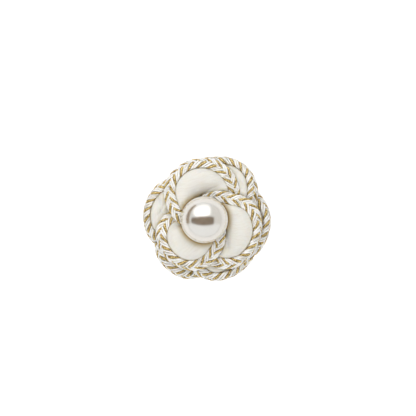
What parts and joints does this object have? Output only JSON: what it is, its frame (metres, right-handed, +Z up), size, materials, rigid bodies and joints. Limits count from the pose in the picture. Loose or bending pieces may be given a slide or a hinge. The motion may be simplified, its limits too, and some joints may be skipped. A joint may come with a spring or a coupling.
{
  "type": "flower brooch",
  "caption": "Fabric flower brooch with padded cream petals edged in a metallic thread braid, a large faux pearl centre and a bar pin on the back.",
  "frame": {"origin": "on the surface that the brooch lies on, under the middle of the flower", "axes": "+Z up out of the flower's face, +Y towards the top of the flower, +X to its right"},
  "size_m": [0.0446, 0.0433, 0.0252],
  "materials": {
    "petal_cloth": "cream ribbed cloth, padded and drawn taut",
    "braid_thread": "herringbone plait of silvery-white and gold metallic thread",
    "pearl_coat": "cream pearl lacquer, glossy",
    "felt": "cream felt",
    "pin_metal": "plain nickel finish"
  },
  "bodies": {
    "root": {"petal_inner_top": "petal_cloth", "petal_inner_right": "petal_cloth", "petal_inner_left": "petal_cloth", "petal_outer_upper_right": "petal_cloth", "petal_outer_right": "petal_cloth", "petal_outer_bottom": "petal_cloth", "petal_outer_lower_left": "petal_cloth", "petal_outer_left": "petal_cloth", "braid_inner_top": "braid_thread", "braid_inner_right": "braid_thread", "braid_inner_left": "braid_thread", "braid_outer_upper_right": "braid_thread", "braid_outer_right": "braid_thread", "braid_outer_bottom": "braid_thread", "braid_outer_lower_left": "braid_thread", "braid_outer_left": "braid_thread", "pearl": "pearl_coat", "backing": "felt", "pin_back": "pin_metal"}
  },
  "joints": []
}
